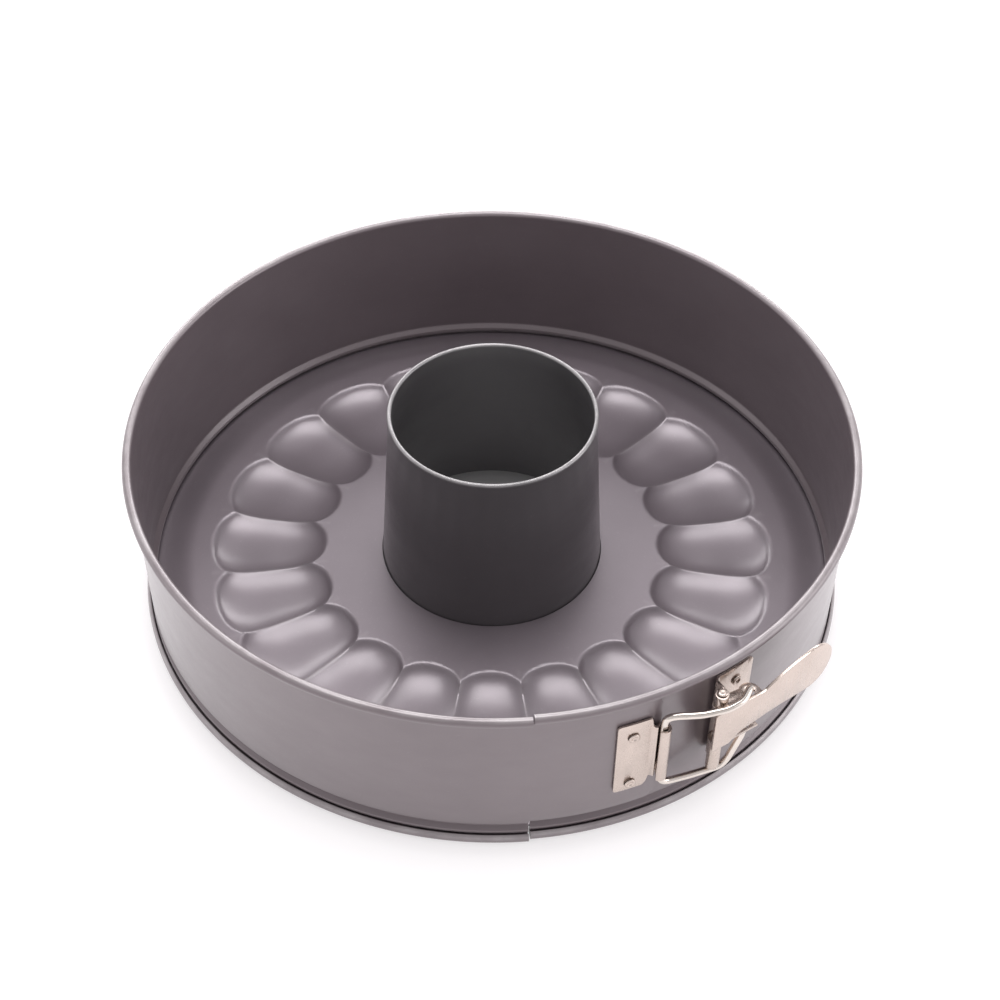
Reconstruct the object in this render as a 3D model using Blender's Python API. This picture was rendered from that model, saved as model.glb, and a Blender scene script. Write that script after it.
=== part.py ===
"""Springform tube pan: a latched side ring around a lobed base plate with a centre tube."""
import math

import bmesh
import bpy
from mathutils import Matrix, Vector

MM = 0.001

# Sheet metal and the gaps between pieces
SHEET = 0.6 * MM
PLATE = 0.8 * MM
GAP = 0.3 * MM

# Side ring: one strip whose ends overlap, seen as an outline from its rolled top to its lower curl
RING_RADIUS = 131.0 * MM
RING_HEIGHT = 68.2 * MM
BEAD_RADIUS = 1.4 * MM
BEAD_TIP_ANGLE = -100.0
BEAD_STEPS = 6
RIB_RISE = 2.3 * MM
RIB_DEPTH = 1.8 * MM
RIB_HALF_WIDTH = 2.0 * MM
RIB_UPPER_SHOULDER = Vector((0.85, 0.35))
RIB_LOWER_SHOULDER = Vector((0.75, 0.4))
GROOVE_HEIGHT = 5.0 * MM
GROOVE_HALF_WIDTH = 0.4 * MM
LIP_DROP = 1.9 * MM
LIP_DEPTH = 2.1 * MM
CURL_RADIUS = 2.0 * MM
CURL_FLAT_HALF_ANGLE = 15.0
CURL_TIP_ANGLE = 60.0
CURL_INNER_STEPS = 2
CURL_OUTER_STEPS = 4

# Angles around the pan, in degrees, anticlockwise from +X
INNER_END_ANGLE = -84.0
OUTER_END_ANGLE = 294.8
TONGUE_BAND_GAP = 0.8 * MM
SPIRAL_SPAN = 70.0
RING_STATIONS = 72

# Base plate with a wreath of dished lobes
BASE_SHEET = 0.7 * MM
BASE_EDGE_GAP = 0.7 * MM
RIM_DROP = 1.9 * MM
RIM_WIDTH = 3.5 * MM
RIM_SLOPE_WIDTH = 5.5 * MM
LOBE_COUNT = 20
LOBE_STEPS = 5
LOBE_TUBE_MARGIN = 22.3 * MM
LOBE_RIM_MARGIN = 21.8 * MM
LOBE_ROWS = 6
LOBE_DEPTH = 4.6 * MM
LOBE_SIDE_SHARE = 0.45

# Centre tube
TUBE_FOOT_RADIUS = 42.2 * MM
TUBE_TAPER = 4.6 * MM
TUBE_TOP_HEIGHT = 76.8 * MM
TUBE_HEM_RADIUS = 0.85 * MM
TUBE_HEM_ARC = (-50.0, 190.0)
TUBE_HEM_STEPS = 6
TUBE_FLANGE_WIDTH = 4.2 * MM
TUBE_SEGMENTS = 64

# Latch: places are (along, out), a tangent and a radial distance at LATCH_ANGLE, and heights
# are given above the bracket's lower edge, which lies LATCH_DROP below the top of the ring
LATCH_ANGLE = -57.3
LATCH_DROP = 45.2 * MM
PIVOT_STAND = 7.4 * MM
PIN_RADIUS = 1.2 * MM
PIN_HEAD_RADIUS = 1.75 * MM
PIN_HEAD_HEIGHT = 0.7 * MM
BRACKET_HEIGHT = 38.0 * MM
BRACKET_FAR = 18.5 * MM
WINDOW_DEPTH = 4.4 * MM
WINDOW_HALF_WIDTH = 8.0 * MM
LEVER_SHEET = 0.9 * MM
LEVER_GAP = 0.6 * MM
LOWER_EAR_RISE = 14.6 * MM
UPPER_EAR_RISE = 31.8 * MM
LEVER_NEAR = -4.5 * MM
LEVER_LENGTH = 46.5 * MM
TAB_RISE = 21.5 * MM
TAB_HEIGHT = 20.0 * MM
TAB_START = 17.5 * MM
TAB_SLOPE = 0.09
EAR_MARGIN = 3.7 * MM
BAIL_HOLE_ALONG = 11.2 * MM
BAIL_HOLE_STAND = 0.8 * MM
WIRE_RADIUS = 1.25 * MM
CATCH_CURL_ALONG = -19.0 * MM
CATCH_CURL_STAND = 4.3 * MM
CATCH_CURL_GAP = 0.4 * MM
CATCH_DROP = 2.5 * MM
CATCH_HEIGHT = 35.0 * MM
CATCH_CURL_RISE = 2.5 * MM
CATCH_CURL_HEIGHT = 26.0 * MM
CATCH_WIDTH = 14.8 * MM
CATCH_ROLL_START = 215.0
ROLL_SWEEP = 300.0
ROLL_STEPS = 14
PLATE_STEPS = 3
RIVET_RADIUS = 1.3 * MM
RIVET_HEAD_RADIUS = 2.0 * MM
RIVET_HEAD_HEIGHT = 0.5 * MM
RIVET_INSET = 7.0 * MM
CATCH_LOWER_INSET = 3.4 * MM
CATCH_RIVET_SHARE = 0.36
BRACKET_RIVET_SHARE = 0.62

# Lever outline: shares are of half the tab's height
LEVER_CORNER = 1.0 * MM
LEVER_LOWER_CUT = 0.8 * MM
NECK_SHARE = 0.72
TAB_SHARES = (0.35, 0.7, 1.0)
TAB_END_ANGLES = (30.0, 55.0, 75.0, 88.0)
EAR_PIN_WALL = 1.3 * MM

# Bail: shares of the hole's or the curl's tangent distance at which the wire bends, and offsets
ARM_NEAR_SHARE = 0.55
ARM_BEND_SHARE = 0.45
ARM_BEND_OUT = 2.6 * MM
UPPER_TURN_SHARE = 0.9
UPPER_TURN_OUT = 1.4 * MM
UPPER_TURN_DROP = 2.0 * MM
LOWER_TURN_RISE = 3.5 * MM
LOWER_BEND_SHARE = 0.88
LOWER_BEND_OUT = 0.5 * MM
LOWER_BEND_RISE = 0.8 * MM
LOWER_ARM_SHARE = 0.4
LOWER_ARM_OUT = 2.4 * MM
LOWER_NEAR_IN = 1.0 * MM
RISE_START_SHARE = 0.9
RISE_START = 4.0 * MM
RISE_TOP = 9.0 * MM

ROUND_STEPS = 16
CREASE_ANGLE = math.radians(35.0)
STEEL_COLOUR = (0.235, 0.215, 0.222, 1.0)
NICKEL_COLOUR = (0.66, 0.61, 0.57, 1.0)


def clear_scene():
    for item in list(bpy.data.objects):
        bpy.data.objects.remove(item, do_unlink=True)


def material(name, colour, roughness, metallic):
    result = bpy.data.materials.new(name)
    result.use_nodes = True
    shader = result.node_tree.nodes["Principled BSDF"]
    shader.inputs["Base Color"].default_value = colour
    shader.inputs["Roughness"].default_value = roughness
    shader.inputs["Metallic"].default_value = metallic
    return result


def coated_steel(name):
    return material(name, STEEL_COLOUR, 0.38, 0.85)


def nickel(name):
    return material(name, NICKEL_COLOUR, 0.22, 1.0)


def add_object(name, mesh_builder, surface, origin=Vector((0.0, 0.0, 0.0))):
    """Turn a bmesh in world coordinates into an object whose origin is the given point."""
    bmesh.ops.translate(mesh_builder, verts=mesh_builder.verts, vec=-origin)
    bmesh.ops.recalc_face_normals(mesh_builder, faces=mesh_builder.faces)
    mesh = bpy.data.meshes.new(name)
    mesh_builder.to_mesh(mesh)
    mesh_builder.free()
    mesh.shade_smooth()
    mesh.set_sharp_from_angle(angle=CREASE_ANGLE)
    mesh.materials.append(surface)
    result = bpy.data.objects.new(name, mesh)
    result.location = origin
    bpy.context.scene.collection.objects.link(result)
    return result


def add_boolean(target, helper, operation):
    helper.hide_render = True
    helper.display_type = "WIRE"
    modifier = target.modifiers.new(helper.name, "BOOLEAN")
    modifier.operation = operation
    modifier.solver = "EXACT"
    modifier.object = helper


def polar(angle, radius, height):
    turn = math.radians(angle)
    return Vector((radius * math.cos(turn), radius * math.sin(turn), height))


def latch_point(along, out, height):
    """World place of a latch point given by its tangent and radial distances."""
    turn = math.radians(LATCH_ANGLE)
    x = out * math.cos(turn) - along * math.sin(turn)
    y = out * math.sin(turn) + along * math.cos(turn)
    return Vector((x, y, height))


def offset_path(path, distance):
    """Shift an open 2-D path sideways, keeping each stretch parallel to itself."""
    shifted = []
    last = len(path) - 1
    for index, point in enumerate(path):
        before = path[max(index - 1, 0)]
        after = path[min(index + 1, last)]
        into = (point - before if index > 0 else after - point).normalized()
        away = (after - point if index < last else point - before).normalized()
        side_in = Vector((-into.y, into.x))
        side_out = Vector((-away.y, away.x))
        middle = (side_in + side_out).normalized()
        shifted.append(point + middle * (distance / middle.dot(side_in)))
    return shifted


def arc(centre, radius, start, stop, steps):
    """Points on an arc, angles in degrees."""
    points = []
    for step in range(steps + 1):
        turn = math.radians(start + (stop - start) * step / steps)
        points.append(centre + radius * Vector((math.cos(turn), math.sin(turn))))
    return points


def bead_centre_height():
    return RING_HEIGHT - SHEET / 2 - BEAD_RADIUS


def rib_height():
    return GROOVE_HEIGHT + RIB_RISE


def ring_outline():
    """Centreline of the strip as (offset from the wall, height), and its plain wall's two indexes."""
    bead_centre = Vector((BEAD_RADIUS, bead_centre_height()))
    points = arc(bead_centre, BEAD_RADIUS, BEAD_TIP_ANGLE, 180.0, BEAD_STEPS)
    band_top = bead_centre_height() - BEAD_RADIUS - SHEET / 2 - TONGUE_BAND_GAP
    band_foot = rib_height() + RIB_HALF_WIDTH
    first_band = len(points)
    points += [Vector((0.0, band_top)), Vector((0.0, band_foot))]
    upper = Vector((-RIB_DEPTH * RIB_UPPER_SHOULDER.x, RIB_HALF_WIDTH * RIB_UPPER_SHOULDER.y))
    lower = Vector((-RIB_DEPTH * RIB_LOWER_SHOULDER.x, -RIB_HALF_WIDTH * RIB_LOWER_SHOULDER.y))
    for step in (upper, Vector((-RIB_DEPTH, 0.0)), lower):
        points.append(step + Vector((0.0, rib_height())))
    points.append(Vector((0.0, GROOVE_HEIGHT + GROOVE_HALF_WIDTH)))
    points.append(Vector((0.0, GROOVE_HEIGHT - GROOVE_HALF_WIDTH)))
    points.append(Vector((-LIP_DEPTH, GROOVE_HEIGHT - LIP_DROP)))
    flat = math.radians(CURL_FLAT_HALF_ANGLE)
    curl_centre = Vector((CURL_RADIUS - LIP_DEPTH, CURL_RADIUS * math.cos(flat) + SHEET / 2))
    points += arc(curl_centre, CURL_RADIUS, 180.0, 270.0 - CURL_FLAT_HALF_ANGLE, CURL_INNER_STEPS)
    outer_start, tip = 270.0 + CURL_FLAT_HALF_ANGLE, 360.0 + CURL_TIP_ANGLE
    points += arc(curl_centre, CURL_RADIUS, outer_start, tip, CURL_OUTER_STEPS)
    return points, first_band


def spiral_shift(angle):
    """The outer end steps out by one sheet and a gap before it reaches the inner end."""
    share = (angle - (INNER_END_ANGLE + 360.0 - SPIRAL_SPAN)) / SPIRAL_SPAN
    share = min(max(share, 0.0), 1.0)
    return (SHEET + GAP) * share * share * (3.0 - 2.0 * share)


def ring_stations():
    """Angles along the strip, with a station on the line where the outer end becomes a plain band."""
    gap_angle = math.degrees(2.0 * GAP / RING_RADIUS)
    full_end = INNER_END_ANGLE + 360.0 - gap_angle
    angles = []
    for step in range(RING_STATIONS + 1):
        angles.append(INNER_END_ANGLE + (full_end - INNER_END_ANGLE) * step / RING_STATIONS)
    tongue_steps = math.ceil((OUTER_END_ANGLE - full_end) * RING_STATIONS / 360.0)
    for step in range(1, tongue_steps + 1):
        angles.append(full_end + (OUTER_END_ANGLE - full_end) * step / tongue_steps)
    return angles


def sweep_section(builder, angle, sides):
    """Two rows of vertices, one on each side of the strip."""
    rows = []
    for side in sides:
        row = [builder.verts.new(polar(angle, RING_RADIUS + spiral_shift(angle) + p.x, p.y)) for p in side]
        rows.append(row)
    return rows


def cap_section(builder, rows, first, last):
    for index in range(first, last):
        builder.faces.new((rows[0][index], rows[0][index + 1], rows[1][index + 1], rows[1][index]))


def bridge_sections(builder, rows, following, first, last):
    for near, far in zip(rows, following):
        for index in range(first, last):
            builder.faces.new((near[index], near[index + 1], far[index + 1], far[index]))
    for index in (first, last):
        builder.faces.new((rows[0][index], rows[1][index], following[1][index], following[0][index]))


def side_ring():
    builder = bmesh.new()
    centreline, band = ring_outline()
    sides = (offset_path(centreline, SHEET / 2), offset_path(centreline, -SHEET / 2))
    end = len(centreline) - 1
    angles = ring_stations()
    rows = sweep_section(builder, angles[0], sides)
    cap_section(builder, rows, 0, end)
    for step, angle in enumerate(angles[1:], start=1):
        in_band = step > RING_STATIONS
        window = [side[band:band + 2] for side in sides] if in_band else sides
        following = sweep_section(builder, angle, window)
        first, last = (0, 1) if in_band else (0, end)
        bridge_sections(builder, rows, following, first, last)
        rows = following
        if step == RING_STATIONS:
            cap_section(builder, rows, 0, band)
            cap_section(builder, rows, band + 1, end)
            rows = [row[band:band + 2] for row in rows]
    cap_section(builder, rows, 0, 1)
    ring = add_object("side_ring", builder, coated_steel("side_ring_steel"))
    for name, along, height, out in rivet_places():
        hole = rivet_drill(name + "_hole", along, height, out, RIVET_RADIUS + GAP)
        add_boolean(ring, hole, "DIFFERENCE")
    return ring


def rim_radius():
    return RING_RADIUS - SHEET / 2 - BASE_EDGE_GAP


def lobe_inner_radius():
    return TUBE_FOOT_RADIUS + LOBE_TUBE_MARGIN


def lobe_outer_radius():
    return rim_radius() - LOBE_RIM_MARGIN


def lobe_drop(angle, radius):
    """How far the floor sinks at a place in the wreath of lobes."""
    share = (radius - lobe_inner_radius()) / (lobe_outer_radius() - lobe_inner_radius())
    if not 0.0 < share < 1.0:
        return 0.0
    pitch = 360.0 / LOBE_COUNT
    beside = abs((angle + 90.0 + pitch / 2) % pitch - pitch / 2) / (pitch / 2)
    across = 1.0 - (1.0 - LOBE_SIDE_SHARE) * beside * beside
    return LOBE_DEPTH * across * math.sqrt(math.sin(math.pi * share))


def base_radii():
    """Radii of the floor's rows, from the tube's hole to the rim."""
    hole = TUBE_FOOT_RADIUS + GAP
    radii = [hole, lobe_inner_radius()]
    for row in range(1, LOBE_ROWS):
        share = 0.5 - 0.5 * math.cos(math.pi * row / LOBE_ROWS)
        radii.append(lobe_inner_radius() + (lobe_outer_radius() - lobe_inner_radius()) * share)
    rim_start = rim_radius() - RIM_WIDTH
    return radii + [lobe_outer_radius(), rim_start - RIM_SLOPE_WIDTH, rim_start, rim_radius()]


def rim_drop(radius):
    """How far the floor has stepped down towards its flat rim, which rests in the ring's groove."""
    share = 1.0 + (radius - rim_radius() + RIM_WIDTH) / RIM_SLOPE_WIDTH
    return RIM_DROP * min(max(share, 0.0), 1.0)


def floor_height():
    return GROOVE_HEIGHT + BASE_SHEET / 2 + RIM_DROP


def base_plate():
    builder = bmesh.new()
    steps = LOBE_COUNT * LOBE_STEPS
    layers = []
    for drop in (0.0, BASE_SHEET):
        rows = []
        for radius in base_radii():
            row = []
            for step in range(steps):
                angle = 360.0 * (step + 0.5) / steps
                height = floor_height() - drop - lobe_drop(angle, radius) - rim_drop(radius)
                row.append(builder.verts.new(polar(angle, radius, height)))
            rows.append(row)
        layers.append(rows)
    for rows in layers:
        for inner, outer in zip(rows, rows[1:]):
            join_rings(builder, inner, outer)
    join_rings(builder, layers[0][0], layers[1][0])
    join_rings(builder, layers[0][-1], layers[1][-1])
    return add_object("base_plate", builder, coated_steel("base_steel"))


def join_rings(builder, first, second):
    count = len(first)
    for step in range(count):
        after = (step + 1) % count
        builder.faces.new((first[step], first[after], second[after], second[step]))


def tube_outline():
    """Closed outline of the tube as (radius, height): wall, rolled hem and the flange under the floor."""
    floor_bottom = floor_height() - BASE_SHEET
    flange_top = floor_bottom - GAP
    flange_foot = flange_top - SHEET
    flange_radius = TUBE_FOOT_RADIUS + TUBE_FLANGE_WIDTH
    hem = Vector((TUBE_FOOT_RADIUS - TUBE_TAPER, TUBE_TOP_HEIGHT - TUBE_HEM_RADIUS))
    outside = [Vector((flange_radius, flange_foot)), Vector((flange_radius, flange_top))]
    outside += [Vector((TUBE_FOOT_RADIUS, flange_top)), Vector((TUBE_FOOT_RADIUS, floor_height()))]
    outside += arc(hem, TUBE_HEM_RADIUS, *TUBE_HEM_ARC, TUBE_HEM_STEPS)
    inside = [Vector((TUBE_FOOT_RADIUS - SHEET, floor_height()))]
    inside.append(Vector((TUBE_FOOT_RADIUS - SHEET, flange_foot)))
    return outside + inside


def tube():
    builder = bmesh.new()
    outline = tube_outline()
    rings = []
    for step in range(TUBE_SEGMENTS):
        angle = 360.0 * step / TUBE_SEGMENTS
        rings.append([builder.verts.new(polar(angle, point.x, point.y)) for point in outline])
    for step in range(TUBE_SEGMENTS):
        join_rings(builder, rings[step], rings[(step + 1) % TUBE_SEGMENTS])
    return add_object("tube", builder, coated_steel("tube_steel"))


def sheet_solid(path, thickness, lows, highs):
    """A bent sheet standing upright: a plan path given thickness, with a height range at each point."""
    builder = bmesh.new()
    sides = (offset_path(path, thickness / 2), offset_path(path, -thickness / 2))
    rows = []
    for side in sides:
        low_row = [builder.verts.new(latch_point(p.x, p.y, low)) for p, low in zip(side, lows)]
        high_row = [builder.verts.new(latch_point(p.x, p.y, high)) for p, high in zip(side, highs)]
        rows.append((low_row, high_row))
    (near_low, near_high), (far_low, far_high) = rows
    for index in range(len(path) - 1):
        after = index + 1
        builder.faces.new((near_low[index], near_low[after], near_high[after], near_high[index]))
        builder.faces.new((far_low[index], far_low[after], far_high[after], far_high[index]))
        builder.faces.new((near_low[index], near_low[after], far_low[after], far_low[index]))
        builder.faces.new((near_high[index], near_high[after], far_high[after], far_high[index]))
    for index in (0, len(path) - 1):
        builder.faces.new((near_low[index], near_high[index], far_high[index], far_low[index]))
    return builder


def latch_foot():
    return RING_HEIGHT - LATCH_DROP


def bracket_top():
    return latch_foot() + BRACKET_HEIGHT


def lower_ear():
    return latch_foot() + LOWER_EAR_RISE


def upper_ear():
    return latch_foot() + UPPER_EAR_RISE


def catch_foot():
    return latch_foot() - CATCH_DROP


def pivot_out():
    return RING_RADIUS + PIVOT_STAND


def bail_hole_out():
    return pivot_out() + BAIL_HOLE_STAND


def catch_curl_out():
    return wall_out(CATCH_CURL_ALONG, RING_RADIUS) + CATCH_CURL_STAND


def wall_out(along, radius):
    """Radial distance, in the latch's axes, of a circle around the pan at a tangent distance."""
    return math.sqrt(radius * radius - along * along)


def catch_sheet_radius():
    """Middle of the catch plate, which lies on the strip's outer end."""
    return RING_RADIUS + spiral_shift(OUTER_END_ANGLE) + SHEET / 2 + GAP + PLATE / 2


def catch_far():
    return CATCH_CURL_ALONG - CATCH_WIDTH


def catch_plate():
    """Riveted plate whose free edge is rolled into an open curl around the bail's bar."""
    radius = catch_sheet_radius()
    reach = WIRE_RADIUS + CATCH_CURL_GAP + PLATE / 2
    centre = Vector((CATCH_CURL_ALONG, catch_curl_out()))
    path = []
    start = catch_far()
    stop = CATCH_CURL_ALONG - reach * 1.5
    for step in range(PLATE_STEPS + 1):
        along = start + (stop - start) * step / PLATE_STEPS
        path.append(Vector((along, wall_out(along, radius))))
    plain = len(path)
    path += arc(centre, reach, CATCH_ROLL_START, CATCH_ROLL_START + ROLL_SWEEP, ROLL_STEPS)
    rolled = len(path) - plain
    curl_foot = latch_foot() + CATCH_CURL_RISE
    lows = [catch_foot()] * plain + [curl_foot] * rolled
    highs = [catch_foot() + CATCH_HEIGHT] * plain + [curl_foot + CATCH_CURL_HEIGHT] * rolled
    builder = sheet_solid(path, PLATE, lows, highs)
    plate = add_object("catch_plate", builder, nickel("catch_nickel"))
    for name, along, height, out in rivet_places():
        if name.startswith("catch"):
            hole = rivet_drill(name + "_plate_hole", along, height, out, RIVET_RADIUS + GAP)
            add_boolean(plate, hole, "DIFFERENCE")
    return plate


def bracket_radius():
    return RING_RADIUS + SHEET / 2 + GAP + PLATE / 2


def bracket_reach():
    return PIN_RADIUS + GAP + PLATE / 2


def lever_bracket():
    """Plate on the strip's inner end that stands out and rolls around the pivot pin."""
    centre = Vector((0.0, pivot_out()))
    reach = bracket_reach()
    radius = bracket_radius()
    path = []
    near = reach + 2.0 * PLATE
    for step in range(PLATE_STEPS + 1):
        along = BRACKET_FAR + (near - BRACKET_FAR) * step / PLATE_STEPS
        path.append(Vector((along, wall_out(along, radius))))
    path.append(Vector((reach, wall_out(near, radius) + 1.5 * PLATE)))
    path += arc(centre, reach, 0.0, ROLL_SWEEP, ROLL_STEPS)
    lows = [latch_foot()] * len(path)
    highs = [bracket_top()] * len(path)
    builder = sheet_solid(path, PLATE, lows, highs)
    bracket = add_object("lever_bracket", builder, nickel("bracket_nickel"))
    window_out = (pivot_out() - WINDOW_DEPTH, pivot_out() + 2.0 * WINDOW_DEPTH)
    window_height = (lower_ear() - GAP, lever_ear_top() + GAP)
    window = box_solid("bracket_window", (-WINDOW_HALF_WIDTH, WINDOW_HALF_WIDTH), window_out, window_height)
    add_boolean(bracket, window, "DIFFERENCE")
    for name, along, height, out in rivet_places():
        if name.startswith("bracket"):
            hole = rivet_drill(name + "_plate_hole", along, height, out, RIVET_RADIUS + GAP)
            add_boolean(bracket, hole, "DIFFERENCE")
    return bracket


def box_solid(name, along, out, height):
    builder = bmesh.new()
    corners = []
    for z in height:
        for a, o in ((along[0], out[0]), (along[1], out[0]), (along[1], out[1]), (along[0], out[1])):
            corners.append(builder.verts.new(latch_point(a, o, z)))
    low, high = corners[:4], corners[4:]
    builder.faces.new(low)
    builder.faces.new(high)
    join_rings(builder, low, high)
    return add_object(name, builder, nickel(name + "_surface"))


def round_solid(levels, axis_point, direction, steps=ROUND_STEPS):
    """A turned solid: (distance along the axis, radius) levels around a point."""
    builder = bmesh.new()
    turn = direction.to_track_quat("Z", "Y").to_matrix().to_4x4()
    place = Matrix.Translation(axis_point) @ turn
    rings = []
    for distance, radius in levels:
        ring = []
        for step in range(steps):
            angle = 2.0 * math.pi * step / steps
            local = Vector((radius * math.cos(angle), radius * math.sin(angle), distance))
            ring.append(builder.verts.new(place @ local))
        rings.append(ring)
    builder.faces.new(rings[0])
    builder.faces.new(rings[-1])
    for lower, upper in zip(rings, rings[1:]):
        join_rings(builder, lower, upper)
    return builder


def rivet_places():
    """Name, tangent distance, height and the radius of the plate's outer face under each head."""
    catch_along = catch_far() + CATCH_WIDTH * CATCH_RIVET_SHARE
    catch_face = catch_sheet_radius() + PLATE / 2
    bracket_along = BRACKET_FAR * BRACKET_RIVET_SHARE
    bracket_face = bracket_radius() + PLATE / 2
    return (
        ("catch_rivet_upper", catch_along, catch_foot() + CATCH_HEIGHT - RIVET_INSET, catch_face),
        ("catch_rivet_lower", catch_along, catch_foot() + CATCH_LOWER_INSET, catch_face),
        ("bracket_rivet_upper", bracket_along, bracket_top() - RIVET_INSET, bracket_face),
        ("bracket_rivet_lower", bracket_along, latch_foot() + RIVET_INSET, bracket_face),
    )


def rivet_axis(along, height, out):
    """Point on the outer face and the direction straight out of the wall there."""
    point = latch_point(along, wall_out(along, out), height)
    direction = Vector((point.x, point.y, 0.0)).normalized()
    return point, direction


def rivet_drill(name, along, height, out, radius):
    point, direction = rivet_axis(along, height, out)
    reach = PLATE + SHEET + 2.5 * GAP
    builder = round_solid(((-reach, radius), (reach, radius)), point, direction, 12)
    return add_object(name, builder, nickel(name + "_surface"))


def rivets():
    for name, along, height, out in rivet_places():
        point, direction = rivet_axis(along, height, out)
        foot = -(PLATE + SHEET + GAP)
        levels = ((foot, RIVET_RADIUS), (GAP, RIVET_RADIUS), (GAP, RIVET_HEAD_RADIUS),
                  (GAP + RIVET_HEAD_HEIGHT * 0.6, RIVET_HEAD_RADIUS * 0.8),
                  (GAP + RIVET_HEAD_HEIGHT, RIVET_HEAD_RADIUS * 0.35))
        builder = round_solid(levels, point, direction, 12)
        add_object(name, builder, nickel(name + "_nickel"))


def pivot_pin():
    foot = latch_point(0.0, pivot_out(), 0.0)
    low, high = latch_foot() - GAP, bracket_top() + GAP
    levels = ((low - PIN_HEAD_HEIGHT, PIN_HEAD_RADIUS), (low, PIN_HEAD_RADIUS), (low, PIN_RADIUS),
              (high, PIN_RADIUS), (high, PIN_HEAD_RADIUS), (high + PIN_HEAD_HEIGHT, PIN_HEAD_RADIUS * 0.8))
    builder = round_solid(levels, foot, Vector((0.0, 0.0, 1.0)))
    return add_object("pivot_pin", builder, nickel("pin_nickel"), foot)


def lever_face_out():
    """Middle of the lever's face, outside the bracket's knuckles."""
    return pivot_out() + bracket_reach() + PLATE / 2 + LEVER_GAP + LEVER_SHEET / 2


def lever_ear_top():
    return upper_ear() + LEVER_SHEET


def lever_profile():
    """Lever face as columns of (along, low edge, high edge)."""
    ear_low = lower_ear() - GAP
    ear_high = lever_ear_top() + GAP
    middle = latch_foot() + TAB_RISE + TAB_HEIGHT / 2
    half = TAB_HEIGHT / 2
    neck = middle + half * NECK_SHARE
    columns = [(LEVER_NEAR, ear_low + LEVER_CORNER, ear_high - LEVER_CORNER)]
    columns.append((LEVER_NEAR + LEVER_CORNER, ear_low, ear_high))
    columns.append((BAIL_HOLE_ALONG, ear_low, ear_high))
    columns.append((BAIL_HOLE_ALONG + EAR_MARGIN, ear_low + LEVER_LOWER_CUT, ear_high))
    columns.append((TAB_START, (ear_low + middle - half) / 2, neck))
    round_start = LEVER_LENGTH - half
    run = round_start - TAB_START
    for share in TAB_SHARES:
        top = neck + (middle + half - neck) * share
        columns.append((TAB_START + run * share, middle - half, top))
    for angle in TAB_END_ANGLES:
        turn = math.radians(angle)
        reach = half * math.cos(turn)
        columns.append((round_start + half * math.sin(turn), middle - reach, middle + reach))
    return columns


def lever():
    """Stamped lever: a face outside the knuckles, a thumb tab, and two ears that hold pin and bail."""
    face_out = lever_face_out()
    path, lows, highs = [], [], []
    for along, low, high in lever_profile():
        curve = max(along - TAB_START, 0.0)
        path.append(Vector((along, face_out - curve * curve / (2.0 * RING_RADIUS))))
        sink = TAB_SLOPE * curve
        lows.append(low - sink)
        highs.append(high - sink)
    pivot = latch_point(0.0, pivot_out(), 0.0)
    face = add_object("lever", sheet_solid(path, LEVER_SHEET, lows, highs), nickel("lever_nickel"), pivot)
    for label, height in (("upper", upper_ear()), ("lower", lower_ear())):
        add_boolean(face, lever_ear("lever_ear_" + label, height, face_out), "UNION")
    for label, along, out, radius in (("pin", 0.0, pivot_out(), PIN_RADIUS + GAP),
                                      ("bail", BAIL_HOLE_ALONG, bail_hole_out(), WIRE_RADIUS + GAP)):
        point = latch_point(along, out, 0.0)
        levels = ((lower_ear() - MM, radius), (lever_ear_top() + MM, radius))
        drill = round_solid(levels, point, Vector((0.0, 0.0, 1.0)), 12)
        add_boolean(face, add_object("lever_" + label + "_hole", drill, nickel(label + "_hole_surface")),
                    "DIFFERENCE")
    return face


def lever_ear(name, height, face_out):
    """Flat ear bent in from the face, round around the pin and around the bail's end."""
    pin_margin = PIN_RADIUS + GAP + EAR_PIN_WALL
    outline = arc(Vector((0.0, pivot_out())), pin_margin, 180.0, 270.0, 4)
    outline += arc(Vector((BAIL_HOLE_ALONG, bail_hole_out())), EAR_MARGIN, 235.0, 360.0, 5)
    outline += [Vector((BAIL_HOLE_ALONG + EAR_MARGIN, face_out)), Vector((-pin_margin, face_out))]
    builder = bmesh.new()
    low = [builder.verts.new(latch_point(p.x, p.y, height)) for p in outline]
    high = [builder.verts.new(latch_point(p.x, p.y, height + LEVER_SHEET)) for p in outline]
    builder.faces.new(low)
    builder.faces.new(high)
    join_rings(builder, low, high)
    return add_object(name, builder, nickel(name + "_surface"))


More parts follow.
